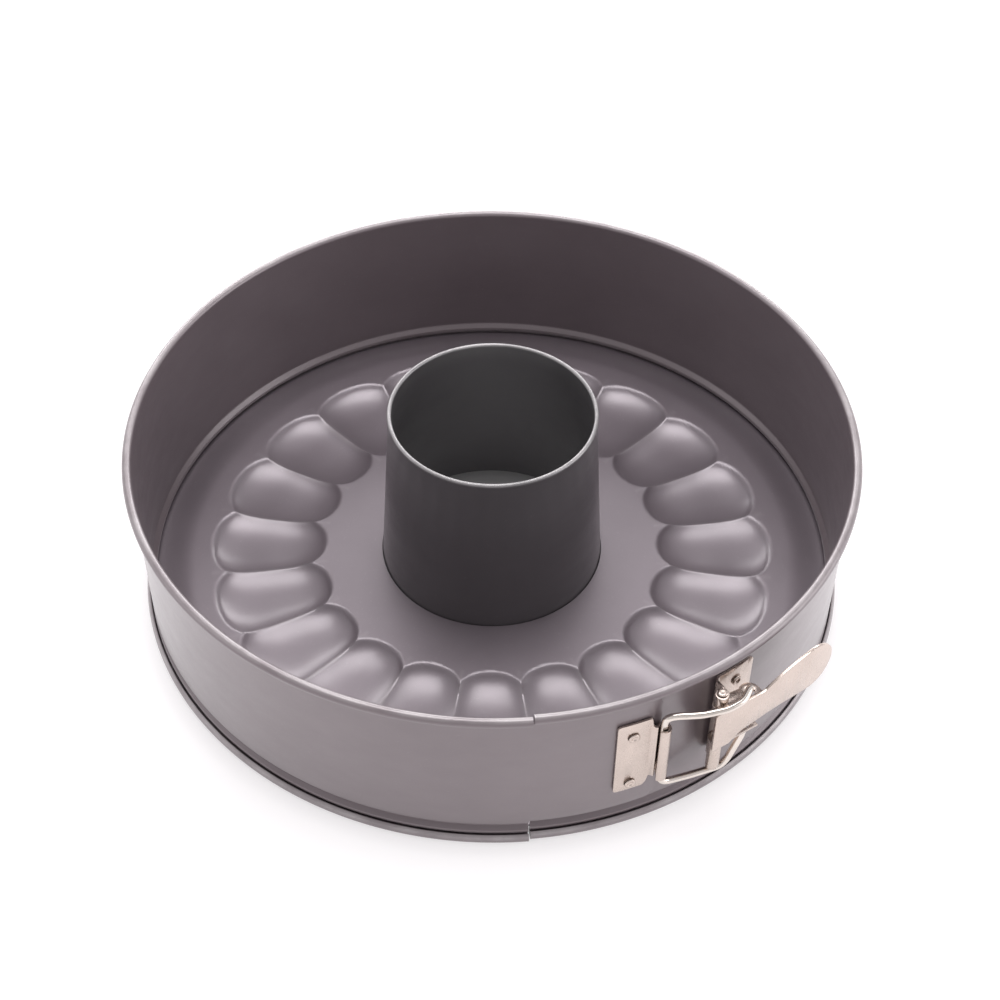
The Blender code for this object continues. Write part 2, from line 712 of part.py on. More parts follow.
def bail():
    """Wire bail: its bar turns in the catch curl, its two arms reach the lever's ears."""
    upper = lever_ear_top() + 2.0 * GAP + WIRE_RADIUS
    lower = latch_foot() - PIN_HEAD_HEIGHT - 3.0 * GAP - WIRE_RADIUS
    end = lower_ear() - GAP
    clear_out = pivot_out() + bracket_reach() + PLATE / 2 + WIRE_RADIUS + 2.0 * GAP
    bar_along, bar_out = CATCH_CURL_ALONG, catch_curl_out()
    route = [
        (BAIL_HOLE_ALONG, bail_hole_out(), upper),
        (BAIL_HOLE_ALONG * ARM_NEAR_SHARE, clear_out, upper),
        (0.0, clear_out, upper),
        (bar_along * ARM_BEND_SHARE, clear_out - ARM_BEND_OUT, upper),
        (bar_along * UPPER_TURN_SHARE, bar_out + UPPER_TURN_OUT, upper),
        (bar_along, bar_out, upper - UPPER_TURN_DROP),
        (bar_along, bar_out, lower + LOWER_TURN_RISE),
        (bar_along * LOWER_BEND_SHARE, bar_out + LOWER_BEND_OUT, lower + LOWER_BEND_RISE),
        (bar_along * LOWER_ARM_SHARE, bar_out + LOWER_ARM_OUT, lower),
        (BAIL_HOLE_ALONG * ARM_NEAR_SHARE, bail_hole_out() - LOWER_NEAR_IN, lower),
        (BAIL_HOLE_ALONG * RISE_START_SHARE, bail_hole_out(), lower + RISE_START),
        (BAIL_HOLE_ALONG, bail_hole_out(), lower + RISE_TOP),
        (BAIL_HOLE_ALONG, bail_hole_out(), end),
    ]
    origin = latch_point(bar_along, bar_out, 0.0)
    curve = bpy.data.curves.new("bail", "CURVE")
    curve.dimensions = "3D"
    curve.bevel_depth = WIRE_RADIUS
    curve.bevel_resolution = 2
    curve.use_fill_caps = True
    curve.materials.append(nickel("bail_nickel"))
    spline = curve.splines.new("POLY")
    spline.points.add(len(route) - 1)
    for point, place in zip(spline.points, route):
        point.co = (*(latch_point(*place) - origin), 1.0)
    wire = bpy.data.objects.new("bail", curve)
    wire.location = origin
    bpy.context.scene.collection.objects.link(wire)
    return wire


def main():
    clear_scene()
    side_ring()
    base_plate()
    tube()
    catch_plate()
    lever_bracket()
    rivets()
    pivot_pin()
    lever()
    bail()


main()
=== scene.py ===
"""Looks of the springform tube pan: satin coated steel, a nickel wire latch and a white studio."""
import math

import bmesh
import bpy
from mathutils import Matrix, Vector


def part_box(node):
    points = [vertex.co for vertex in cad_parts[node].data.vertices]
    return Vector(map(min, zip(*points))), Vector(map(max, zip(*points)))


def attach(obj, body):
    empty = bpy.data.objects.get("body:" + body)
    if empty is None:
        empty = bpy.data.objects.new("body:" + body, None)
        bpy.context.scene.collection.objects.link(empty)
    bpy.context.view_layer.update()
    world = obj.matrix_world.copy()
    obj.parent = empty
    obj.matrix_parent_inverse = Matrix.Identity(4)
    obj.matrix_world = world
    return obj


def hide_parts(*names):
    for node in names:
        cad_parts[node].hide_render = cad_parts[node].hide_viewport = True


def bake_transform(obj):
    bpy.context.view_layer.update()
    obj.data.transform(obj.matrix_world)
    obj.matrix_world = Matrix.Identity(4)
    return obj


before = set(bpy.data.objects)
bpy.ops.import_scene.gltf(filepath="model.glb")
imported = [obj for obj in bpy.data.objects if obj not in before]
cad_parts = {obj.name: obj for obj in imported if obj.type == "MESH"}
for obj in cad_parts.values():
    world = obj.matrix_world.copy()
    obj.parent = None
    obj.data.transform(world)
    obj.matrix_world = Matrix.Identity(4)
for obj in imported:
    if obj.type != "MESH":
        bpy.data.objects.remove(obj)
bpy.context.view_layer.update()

MM = 0.001

# Places taken from the CAD boxes
RING_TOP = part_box("side_ring")[1].z
BEAD_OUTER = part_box("side_ring")[1].x
CURL_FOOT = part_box("side_ring")[0].z
FLOOR_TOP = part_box("base_plate")[1].z
BASE_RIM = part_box("base_plate")[1].x
TUBE_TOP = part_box("tube")[1].z
TUBE_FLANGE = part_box("tube")[1].x
TUBE_FLANGE_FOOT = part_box("tube")[0].z
LATCH_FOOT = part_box("lever_bracket")[0].z
BRACKET_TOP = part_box("lever_bracket")[1].z
CATCH_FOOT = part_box("catch_plate")[0].z
CATCH_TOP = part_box("catch_plate")[1].z
LEVER_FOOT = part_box("lever")[0].z
PIN_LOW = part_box("pivot_pin")[0].z
PIN_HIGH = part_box("pivot_pin")[1].z
PIN_CENTRE = (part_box("pivot_pin")[0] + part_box("pivot_pin")[1]) / 2

# Sheets
STEEL = 0.6 * MM
PLATE = 0.8 * MM
BASE_SHEET = 0.7 * MM
LEVER_SHEET = 0.9 * MM

# Side ring: its section
BEAD_RADIUS = 1.4 * MM
WALL_RADIUS = BEAD_OUTER - 2.0 * BEAD_RADIUS - STEEL / 2
RIB_DEPTH = 1.8 * MM
RIB_HEIGHT = 7.3 * MM
LIP_DEPTH = 2.1 * MM
CURL_RADIUS = 2.0 * MM
WALL_ROWS = 8

# Side ring: its way round the pan, in degrees. The strip runs from INNER_END to OUTER_END.
# Bead and foot stop at FULL_END, and the plain tongue runs on over the inner end, a little further out.
INNER_END = -84.0
FULL_END = 275.75
OUTER_END = 294.8
SPLIT = 90.0
SPIRAL_SPAN = 70.0
SPIRAL_STEP = 0.9 * MM
TONGUE_TOP = RING_TOP - 4.2 * MM
TONGUE_FOOT = 10.6 * MM
TONGUE_CORNER = 3.0 * MM
TONGUE_CORNER_SPAN = 1.6
TONGUE_COLUMNS = 44

# Base plate
LOBES = 20
LOBE_STEPS = 26
LOBE_ROWS = 52
LOBE_INNER = 64.5 * MM
LOBE_OUTER = 108.2 * MM
LOBE_DEPTH = 4.3 * MM
LOBE_PITCH = 360.0 / LOBES
RIM_DROP = 1.9 * MM
RIM_STEP_START = 15.0 * MM
RIM_STEP_WIDTH = 13.0 * MM
RIM_ROWS = (14.5, 13.0, 11.5, 10.0, 8.5, 7.0, 5.5, 4.0, 3.0, 2.0, 0.3, 0.0)
RIM_SOFTNESS = 0.12 * MM

# Tube
TUBE_FOOT_RADIUS = TUBE_FLANGE - 4.2 * MM
TUBE_TOP_RADIUS = TUBE_FOOT_RADIUS - 4.6 * MM
HEM_RADIUS = 0.85 * MM
TUBE_STEPS = 256

# Latch, in tangent and radial distances at the latch's angle
LATCH_TURN = math.atan2(PIN_CENTRE.y, PIN_CENTRE.x)
PIVOT_OUT = math.hypot(PIN_CENTRE.x, PIN_CENTRE.y)
HOLE_ALONG = 11.2 * MM
HOLE_OUT = PIVOT_OUT + 0.8 * MM
CURL_ALONG = -19.0 * MM
CURL_OUT = 133.915 * MM
CATCH_WIDTH = 14.8 * MM
WIRE = 1.25 * MM
FACE_OUT = PIVOT_OUT + 3.35 * MM
SHEET_GAP = 0.3 * MM
RIVET_HOLE = 1.55 * MM
KNUCKLE_GAP = 0.3 * MM
PIN_RADIUS = 1.2 * MM
SOFT_EDGE = 0.16 * MM

# Lever, with its edges as (tangent distance, height) places in millimetres before the tab's slope
EAR_TOP = 56.0 * MM
UPPER_EAR = 54.8 * MM
LOWER_EAR = 37.6 * MM
PIN_EAR_RADIUS = 2.8 * MM
BAIL_EAR_RADIUS = 3.7 * MM
LEVER_NEAR = -4.5 * MM
LEVER_FAR = 46.5 * MM
LEVER_COLUMNS = 34
TAB_START = 17.5 * MM
TAB_SLOPE = 0.09
TAB_LOW = LATCH_FOOT + 21.5 * MM
TAB_HIGH = LATCH_FOOT + 41.5 * MM
LOWER_EDGE = ((2.6, 37.3), (5.2, 39.6), (8.2, 41.2), (12.0, 41.8), (17.0, 43.0), (23.0, 44.3), (29.0, 44.6),
              (36.5, 44.5))
UPPER_EDGE = ((36.5, 64.5), (33.0, 64.2), (28.0, 63.0), (22.0, 60.3), (17.5, 57.4), (15.6, 56.2),
              (13.4, 56.0))

# Bail
BAIL_TOP = 57.55 * MM
BAIL_FOOT = 20.15 * MM
BAIL_LOWER_END = 37.3 * MM
BAIL_BEND = 2.2 * MM
WIRE_STEPS = 20

# Colours
# Light colour of abraded edges, which also serves as a painted highlight on them
ABRADED_AND_HIGHLIGHT = (0.62, 0.60, 0.60, 1.0)
PITTED = (0.30, 0.27, 0.25, 1.0)
STUDIO_WHITE = (1.0, 0.98, 0.99)

# Camera, and the studio's floor
CAMERA_PLACE = (0.0, -0.4776, 0.5148)
CAMERA_PITCH, CAMERA_YAW, CAMERA_ROLL = 45.36, 0.252, 0.46
LENS = 64.44
SENSOR = 36.0
FLOOR_SIZE = 3.0
# The floor's glow is painted light: it rises between these distances from the pan's axis, in metres, from a
# low inside level that leaves a faint painted shadow at the pan's foot
GLOW_START, GLOW_END = 0.1, 0.14
GLOW_INSIDE, GLOW_OUTSIDE = 0.04, 0.7


# ---------------------------------------------------------------- mesh helpers

def polar(angle, radius, height):
    turn = math.radians(angle)
    return Vector((radius * math.cos(turn), radius * math.sin(turn), height))


def latch(along, out, height):
    """World place of a tangent distance, a radial distance and a height at the latch."""
    x = out * math.cos(LATCH_TURN) - along * math.sin(LATCH_TURN)
    y = out * math.sin(LATCH_TURN) + along * math.cos(LATCH_TURN)
    return Vector((x, y, height))


def arc(centre, radius, start, stop, steps):
    """2-D points on an arc, angles in degrees."""
    points = []
    for step in range(steps + 1):
        turn = math.radians(start + (stop - start) * step / steps)
        points.append(centre + radius * Vector((math.cos(turn), math.sin(turn))))
    return points


def smoothstep(share):
    share = min(max(share, 0.0), 1.0)
    return share * share * (3.0 - 2.0 * share)


def bend(start, corner, stop, steps):
    """Curve from start to stop that leans towards a corner."""
    result = []
    for step in range(steps + 1):
        t = step / steps
        result.append(start * (1 - t) ** 2 + corner * 2 * t * (1 - t) + stop * t * t)
    return result


def fillet(points, radii, steps):
    """Round the inner corners of an open 2-D path."""
    result = [points[0]]
    for before, corner, after, radius in zip(points, points[1:], points[2:], radii):
        to_before = (before - corner).normalized()
        to_after = (after - corner).normalized()
        half = to_before.angle(to_after) / 2
        reach = min(radius / math.tan(half), (before - corner).length * 0.48,
                    (after - corner).length * 0.48)
        result += bend(corner + to_before * reach, corner, corner + to_after * reach, steps)
    result.append(points[-1])
    return result


def normals_2d(path):
    """Left-hand unit normals of an open 2-D path."""
    result = []
    last = len(path) - 1
    for index in range(len(path)):
        way = path[min(index + 1, last)] - path[max(index - 1, 0)]
        way.normalize()
        result.append(Vector((-way.y, way.x)))
    return result


def thicken(path, thickness):
    """Closed outline around an open 2-D path, with softened ends."""
    half = thickness / 2
    sides = normals_2d(path)
    left = [p + n * half for p, n in zip(path, sides)]
    right = [p - n * half for p, n in zip(path, sides)]
    first = (path[0] - path[1]).normalized() * half * 0.45
    last = (path[-1] - path[-2]).normalized() * half * 0.45
    end = [path[-1] + last + sides[-1] * half * 0.5, path[-1] + last - sides[-1] * half * 0.5]
    start = [path[0] + first - sides[0] * half * 0.5, path[0] + first + sides[0] * half * 0.5]
    return left + end + right[::-1] + start


def finish_mesh(name, builder, surface, crease=50.0):
    """Object from a built mesh, smooth up to the crease angle in degrees."""
    bmesh.ops.recalc_face_normals(builder, faces=builder.faces)
    mesh = bpy.data.meshes.new(name)
    builder.to_mesh(mesh)
    builder.free()
    mesh.shade_smooth()
    mesh.set_sharp_from_angle(angle=math.radians(crease))
    mesh.materials.append(surface)
    made = bpy.data.objects.new(name, mesh)
    bpy.context.scene.collection.objects.link(made)
    return made


def loft(builder, loops, closed_loop=True, closed_way=False):
    """Skin rows of vertices; each row is a closed loop or an open one."""
    rows = [[builder.verts.new(p) for p in loop] for loop in loops]
    pairs = list(zip(rows, rows[1:]))
    if closed_way:
        pairs.append((rows[-1], rows[0]))
    for near, far in pairs:
        count = len(near)
        for index in range(count if closed_loop else count - 1):
            after = (index + 1) % count
            builder.faces.new((near[index], near[after], far[after], far[index]))
    return rows


def fill_outline(builder, loops):
    """Flat sheet inside the first loop of places, with the other loops as holes."""
    edges = []
    for loop in loops:
        verts = [builder.verts.new(place) for place in loop]
        for index, vert in enumerate(verts):
            edges.append(builder.edges.new((vert, verts[(index + 1) % len(verts)])))
    bmesh.ops.triangle_fill(builder, use_beauty=True, use_dissolve=False, edges=edges)
    return list(builder.faces)


def extruded(builder, faces):
    """Double a flat sheet and join both sides; gives the new side's vertices."""
    extra = bmesh.ops.extrude_face_region(builder, geom=faces)
    return [v for v in extra["geom"] if isinstance(v, bmesh.types.BMVert)]


def cap(builder, row):
    """Close a thin outline made by thicken with quads between its two sides."""
    count = len(row)
    half = (count - 4) // 2
    left = row[:half]
    right = row[half + 2:half + 2 + half][::-1]
    for index in range(half - 1):
        builder.faces.new((left[index], left[index + 1], right[index + 1], right[index]))
    builder.faces.new((left[-1], row[half], row[half + 1], right[-1]))
    builder.faces.new((right[0], row[-2], row[-1], left[0]))


def apply_modifiers(target):
    graph = bpy.context.evaluated_depsgraph_get()
    mesh = bpy.data.meshes.new_from_object(target.evaluated_get(graph))
    old = target.data
    target.modifiers.clear()
    target.data = mesh
    mesh.name = target.name
    bpy.data.meshes.remove(old)


def soften(target, width, angle=35.0):
    """Small rounded edges, as stamping and tumbling leave them."""
    modifier = target.modifiers.new("bevel", "BEVEL")
    modifier.width = width
    modifier.segments = 2
    modifier.limit_method = "ANGLE"
    modifier.angle_limit = math.radians(angle)
    apply_modifiers(target)
    target.data.shade_smooth()
    target.data.set_sharp_from_angle(angle=math.radians(50.0))


# ---------------------------------------------------------------- materials

def tree_of(name):
    surface = bpy.data.materials.new(name)
    surface.use_nodes = True
    tree = surface.node_tree
    return surface, tree, tree.nodes["Principled BSDF"]


def noise(tree, place, scale, detail, roughness, stretch=None):
    """Noise from 0 to 1, its scale in waves for each metre."""
    source = place
    if stretch:
        mapping = tree.nodes.new("ShaderNodeMapping")
        mapping.inputs["Scale"].default_value = stretch
        tree.links.new(place, mapping.inputs["Vector"])
        source = mapping.outputs["Vector"]
    made = tree.nodes.new("ShaderNodeTexNoise")
    made.inputs["Scale"].default_value = scale
    made.inputs["Detail"].default_value = detail
    made.inputs["Roughness"].default_value = roughness
    tree.links.new(source, made.inputs["Vector"])
    return made.outputs["Fac"]


def remap(tree, value, low, high, out_low, out_high):
    """The range low to high becomes out_low to out_high, and stops there."""
    made = tree.nodes.new("ShaderNodeMapRange")
    made.inputs["From Min"].default_value = low
    made.inputs["From Max"].default_value = high
    made.inputs["To Min"].default_value = out_low
    made.inputs["To Max"].default_value = out_high
    tree.links.new(value, made.inputs["Value"])
    return made.outputs["Result"]


def mix_colour(tree, share, first, second):
    """From the first colour at share 0 to the second at 1."""
    made = tree.nodes.new("ShaderNodeMix")
    made.data_type = "RGBA"
    for socket, value in (("Factor", share), ("A", first), ("B", second)):
        slot = [s for s in made.inputs if s.name == socket and s.enabled][0]
        if isinstance(value, tuple):
            slot.default_value = value
        else:
            tree.links.new(value, slot)
    return [s for s in made.outputs if s.enabled][0]


def maths(tree, operation, first, second):
    made = tree.nodes.new("ShaderNodeMath")
    made.operation = operation
    for slot, value in zip(made.inputs, (first, second)):
        if isinstance(value, float):
            slot.default_value = value
        else:
            tree.links.new(value, slot)
    return made.outputs["Value"]


def bump(tree, heights):
    """Chain of bump nodes: (height, distance, strength) each."""
    normal = None
    for height, distance, strength in heights:
        made = tree.nodes.new("ShaderNodeBump")
        made.inputs["Distance"].default_value = distance
        made.inputs["Strength"].default_value = strength
        tree.links.new(height, made.inputs["Height"])
        if normal:
            tree.links.new(normal, made.inputs["Normal"])
        normal = made.outputs["Normal"]
    return normal


def coated_steel(name, dark, light, rough, metal=0.4):
    """Satin non-stick coating on steel: cloudy tone, fine orange peel, and lighter edges that are partly
    abrasion and partly a painted highlight.
    """
    surface, tree, shader = tree_of(name)
    place = tree.nodes.new("ShaderNodeTexCoord").outputs["Object"]
    cloud = noise(tree, place, 22.0, 4.0, 0.55)
    speck = noise(tree, place, 900.0, 2.0, 0.6)
    peel = noise(tree, place, 420.0, 3.0, 0.6)
    smear = noise(tree, place, 60.0, 5.0, 0.6, (1.0, 1.0, 2.6))
    abrasion_and_highlight_attribute = tree.nodes.new("ShaderNodeAttribute")
    abrasion_and_highlight_attribute.attribute_name = "abrasion_and_highlight"
    base = mix_colour(tree, remap(tree, cloud, 0.3, 0.7, 0.0, 1.0), dark, light)
    flecks = remap(tree, speck, 0.62, 0.78, 0.0, 0.3)
    base = mix_colour(tree, flecks, base, tuple(min(c * 1.35, 1.0) for c in light[:3]) + (1.0,))
    # Edges take the lighter colour from the stored attribute: partly abrasion, partly a painted highlight;
    # they are also a little smoother
    abrasion_and_highlight_share = maths(tree, "MULTIPLY", abrasion_and_highlight_attribute.outputs["Fac"], remap(tree, smear, 0.35, 0.65, 0.35, 1.0))
    base = mix_colour(tree, abrasion_and_highlight_share, base, ABRADED_AND_HIGHLIGHT)
    tree.links.new(base, shader.inputs["Base Color"])
    roughness = maths(tree, "ADD", remap(tree, smear, 0.3, 0.7, rough - 0.045, rough + 0.05),
                      remap(tree, speck, 0.4, 0.7, 0.0, 0.03))
    roughness = maths(tree, "SUBTRACT", roughness, maths(tree, "MULTIPLY", abrasion_and_highlight_share, 0.08))
    tree.links.new(roughness, shader.inputs["Roughness"])
    shader.inputs["Metallic"].default_value = metal
    shader.inputs["Coat Weight"].default_value = 1.0
    shader.inputs["Coat Roughness"].default_value = 0.26
    shader.inputs["Coat IOR"].default_value = 1.5
    normal = bump(tree, ((peel, 0.00002, 0.35), (speck, 0.00001, 0.3)))
    tree.links.new(normal, shader.inputs["Normal"])
    return surface


def nickel(name, tone, rough, grain_stretch):
    """Nickel-plated steel: warm, with rolled grain, small pits and handling marks."""
    surface, tree, shader = tree_of(name)
    place = tree.nodes.new("ShaderNodeTexCoord").outputs["Object"]
    grain = noise(tree, place, 1500.0, 2.0, 0.5, grain_stretch)
    cloud = noise(tree, place, 90.0, 4.0, 0.55)
    pits = noise(tree, place, 2200.0, 1.0, 0.5)
    marks = noise(tree, place, 260.0, 6.0, 0.7, (0.35, 1.0, 1.0))
    dark = tuple(c * 0.93 for c in tone) + (1.0,)
    light = tuple(min(c * 1.04, 1.0) for c in tone) + (1.0,)
    base = mix_colour(tree, remap(tree, cloud, 0.3, 0.7, 0.0, 1.0), dark, light)
    base = mix_colour(tree, remap(tree, pits, 0.66, 0.8, 0.0, 0.45), base, PITTED)
    tree.links.new(base, shader.inputs["Base Color"])
    roughness = maths(tree, "ADD", remap(tree, marks, 0.35, 0.65, rough - 0.025, rough + 0.035),
                      remap(tree, grain, 0.3, 0.7, -0.02, 0.03))
    tree.links.new(roughness, shader.inputs["Roughness"])
    shader.inputs["Metallic"].default_value = 1.0
    normal = bump(tree, ((grain, 0.00001, 0.25), (marks, 0.00001, 0.12)))
    tree.links.new(normal, shader.inputs["Normal"])
    return surface


def set_abrasion_and_highlight(target, weigh):
    """Store, from its place, how much each vertex takes the lighter edge colour: partly abrasion, partly a
    painted highlight.
    """
    attribute = target.data.attributes.new("abrasion_and_highlight", "FLOAT", "POINT")
    values = [max(0.0, min(1.0, weigh(v.co))) for v in target.data.vertices]
    attribute.data.foreach_set("value", values)


# ---------------------------------------------------------------- side ring

def ring_path():
    """Centreline of the strip as (offset from the wall, height): bead, rib and groove, foot."""
    bead = Vector((BEAD_RADIUS, RING_TOP - STEEL / 2 - BEAD_RADIUS))
    top = arc(bead, BEAD_RADIUS, -112.0, 180.0, 26)
    groove = 0.05 * MM
    corners = [Vector((0.0, bead.y)), Vector((0.0, RIB_HEIGHT + 2.3 * MM)),
               Vector((-RIB_DEPTH, RIB_HEIGHT + 0.45 * MM)),
               Vector((-RIB_DEPTH, RIB_HEIGHT - 0.6 * MM)),
               Vector((groove, RIB_HEIGHT - 1.8 * MM)), Vector((groove, RIB_HEIGHT - 2.75 * MM)),
               Vector((-LIP_DEPTH, 3.3 * MM)), Vector((-LIP_DEPTH, 2.5 * MM))]
    radii = [1.6 * MM, 0.9 * MM, 0.7 * MM, 0.3 * MM, 0.3 * MM, 0.6 * MM]
    wall = fillet(corners, radii, 5)
    curl = Vector((CURL_RADIUS - LIP_DEPTH, CURL_RADIUS + STEEL / 2))
    foot = arc(curl, CURL_RADIUS, 180.0, 420.0, 24)
    return top, wall[1:-1], foot


def spiral(angle):
    """How far the strip has moved out, to clear the inner end that it overlaps."""
    return SPIRAL_STEP * smoothstep((angle - (INNER_END + 360.0 - SPIRAL_SPAN)) / SPIRAL_SPAN)


def full_profile():
    """The whole centreline, with even rows down the plain wall."""
    top, wall, foot = ring_path()
    high, low = top[-1].y, wall[0].y
    plain = [Vector((0.0, high + (low - high) * step / WALL_ROWS)) for step in range(1, WALL_ROWS)]
    return top + plain + wall + foot


def wall_section(outline, angle):
    """Section of the strip, stood at an angle round the pan."""
    return [polar(angle, WALL_RADIUS + spiral(angle) + p.x, p.y) for p in outline]


def strip(name, sections, surface):
    """Object from sections, closed at both ends."""
    builder = bmesh.new()
    rows = loft(builder, sections)
    cap(builder, rows[0])
    cap(builder, rows[-1])
    return finish_mesh(name, builder, surface, 40.0)


def ring_half(name, stop, steps, surface):
    """Strip from the split to an end."""
    outline = thicken(full_profile(), STEEL)
    angles = [SPLIT + (stop - SPLIT) * step / steps for step in range(steps + 1)]
    return strip(name, [wall_section(outline, angle) for angle in angles], surface)


def ring_abrasion_and_highlight(co):
    """Edges painted lighter, partly as abrasion and partly as a painted highlight: the bead's crown, the
    rib's crest and the foot.
    """
    radius = math.hypot(co.x, co.y)
    crown = 1.0 - abs(co.z - RING_TOP) / (0.9 * MM)
    crest = foot = 0.0
    if radius <= WALL_RADIUS - 1.4 * MM:
        crest = 0.5 - abs(co.z - RIB_HEIGHT) / (1.4 * MM)
    if radius > WALL_RADIUS + 0.8 * MM:
        foot = 1.0 - abs(co.z - 3.6 * MM) / (1.6 * MM)
    return max(0.4 * crown, 0.4 * crest, 0.5 * foot)


def side_ring(surface):
    """Two halves of the strip, split at the back of the ring."""
    lever_half = ring_half("ring_lever_half", INNER_END, 200, surface)
    hook_half = ring_half("ring_hook_half", FULL_END, 212, surface)
    add_tongue(hook_half, surface)
    for piece in (lever_half, hook_half):
        set_abrasion_and_highlight(piece, ring_abrasion_and_highlight)
    return lever_half, hook_half


def add_tongue(hook_half, surface):
    """The outer end runs on as a plain band over the inner end, its corners cut round."""
    start = FULL_END - 1.0
    sections = []
    for step in range(TONGUE_COLUMNS + 1):
        angle = start + (OUTER_END - start) * step / TONGUE_COLUMNS
        left = OUTER_END - angle
        cut = 0.0
        if left < TONGUE_CORNER_SPAN:
            slant = 1.0 - left / TONGUE_CORNER_SPAN
            cut = TONGUE_CORNER * (1.0 - math.sqrt(max(1.0 - slant ** 2, 0.0)))
        low = TONGUE_FOOT + cut
        path = [Vector((0.0, TONGUE_TOP - cut)), Vector((0.0, (TONGUE_TOP + low) / 2)),
                Vector((0.0, max(13.6 * MM, low + 1.2 * MM))),
                Vector((-0.06 * MM, max(12.4 * MM, low + 0.6 * MM))), Vector((-0.3 * MM, low))]
        sections.append(wall_section(thicken(path, STEEL), angle))
    tongue = strip("ring_tongue", sections, surface)
    with bpy.context.temp_override(active_object=hook_half, object=hook_half,
                                   selected_editable_objects=[hook_half, tongue],
                                   selected_objects=[hook_half, tongue]):
        bpy.ops.object.join()


# ---------------------------------------------------------------- base plate and tube

def lobe_sink(beside, share):
    """Depth of a dished lobe: beside is -1..1 across it, share -1..1 from the tube side to the rim."""
    reach = 1.0 - abs(share) ** 3.0 - 0.62 * abs(beside) ** 2.3
    if reach <= 0.0:
        return 0.0
    return LOBE_DEPTH * min(reach, 1.0) ** 0.72


def floor_rows():
    """Radii of the floor's rows."""
    hole = TUBE_FOOT_RADIUS + 0.3 * MM
    radii = [hole, hole + 0.4 * MM, hole + 3.0 * MM, hole + 8.0 * MM, LOBE_INNER - 6.0 * MM]
    first, last = LOBE_INNER - 1.5 * MM, LOBE_OUTER + 1.5 * MM
    for row in range(LOBE_ROWS + 1):
        radii.append(first + (last - first) * row / LOBE_ROWS)
    return radii + [LOBE_OUTER + 6.0 * MM] + [BASE_RIM - width * MM for width in RIM_ROWS]


def rim_step(radius):
    """The floor steps down to its flat rim in a soft S."""
    return RIM_DROP * smoothstep((radius - BASE_RIM + RIM_STEP_START) / RIM_STEP_WIDTH)


def base_plate(surface):
    """Floor with its wreath of dished lobes; columns stand closer near the ridges."""
    columns = []
    for lobe in range(LOBES):
        for step in range(LOBE_STEPS):
            beside = -math.cos(math.pi * step / LOBE_STEPS)
            beside = 0.55 * beside + 0.45 * (2.0 * step / LOBE_STEPS - 1.0)
            columns.append((-90.0 + LOBE_PITCH * (lobe + beside / 2), beside))
    middle = (LOBE_INNER + LOBE_OUTER) / 2
    half = (LOBE_OUTER - LOBE_INNER) / 2
    layers = []
    for drop in (0.0, BASE_SHEET):
        rows = []
        for radius in floor_rows():
            share = (radius - middle) / half
            edge = RIM_SOFTNESS if radius == BASE_RIM else 0.0
            height = FLOOR_TOP - drop - (edge if drop == 0.0 else -edge) - rim_step(radius)
            rows.append([polar(angle, radius, height - lobe_sink(beside, share))
                         for angle, beside in columns])
        layers.append(rows)
    builder = bmesh.new()
    loft(builder, layers[0] + layers[1][::-1], True, True)
    made = finish_mesh("base_floor", builder, surface, 55.0)

    set_abrasion_and_highlight(made, floor_abrasion_and_highlight)
    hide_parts("base_plate")
    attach(made, "base")
    return made


def floor_abrasion_and_highlight(co):
    """The ridges between the lobes are painted lighter: partly abrasion, partly a painted highlight."""
    if not LOBE_INNER < math.hypot(co.x, co.y) < LOBE_OUTER:
        return 0.0
    depth = (FLOOR_TOP - co.z) / LOBE_DEPTH
    ridge = 1.0 - abs(beside_of(co))
    return 0.22 * max(0.0, 1.0 - ridge / 0.12) * (0.3 + depth)


def beside_of(co):
    """Where a place lies across its lobe, -1..1."""
    angle = math.degrees(math.atan2(co.y, co.x)) + 90.0
    half = LOBE_PITCH / 2
    return ((angle + half) % LOBE_PITCH - half) / half


def tube(surface):
    """Tapered tube with a rolled hem above and a flange below the floor's hole."""
    under = FLOOR_TOP - BASE_SHEET - 0.3 * MM
    soft = 0.15 * MM
    outside = [Vector((TUBE_FLANGE - soft, TUBE_FLANGE_FOOT)), Vector((TUBE_FLANGE, TUBE_FLANGE_FOOT + soft)),
               Vector((TUBE_FLANGE, under - soft)), Vector((TUBE_FLANGE - soft, under)),
               Vector((TUBE_FOOT_RADIUS + 0.35 * MM, under)), Vector((TUBE_FOOT_RADIUS, under + 0.35 * MM))]
    roll = arc(Vector((TUBE_TOP_RADIUS, TUBE_TOP - HEM_RADIUS)), HEM_RADIUS, -62.0, 196.0, 26)
    foot = Vector((TUBE_FOOT_RADIUS, FLOOR_TOP))
    outside += [foot.lerp(roll[0], step / 11) for step in range(11)]
    bore = TUBE_FOOT_RADIUS - STEEL
    inner_foot = Vector((bore, FLOOR_TOP))
    inside = [roll[-1].lerp(inner_foot, step / 10) for step in range(1, 11)]
    inside += [Vector((bore, TUBE_FLANGE_FOOT + 0.6 * MM)),
               Vector((bore + 0.3 * MM, TUBE_FLANGE_FOOT + 0.1 * MM)),
               Vector((TUBE_FOOT_RADIUS, TUBE_FLANGE_FOOT))]
    outline = outside + roll + inside
    builder = bmesh.new()
    loops = [[polar(360.0 * step / TUBE_STEPS, p.x, p.y) for p in outline] for step in range(TUBE_STEPS)]
    loft(builder, loops, True, True)
    made = finish_mesh("tube_wall", builder, surface)
    # The hem is painted lighter: partly abrasion, partly a painted highlight
    set_abrasion_and_highlight(made, lambda co: 0.45 * (1.0 - abs(co.z - TUBE_TOP) / (1.3 * MM)))
    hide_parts("tube")
    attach(made, "base")
    return made


# ---------------------------------------------------------------- latch sheets

def plan_length(path):
    """Distance along a path at each of its points."""
    lengths = [0.0]
    for near, far in zip(path, path[1:]):
        lengths.append(lengths[-1] + (far - near).length)
    return lengths


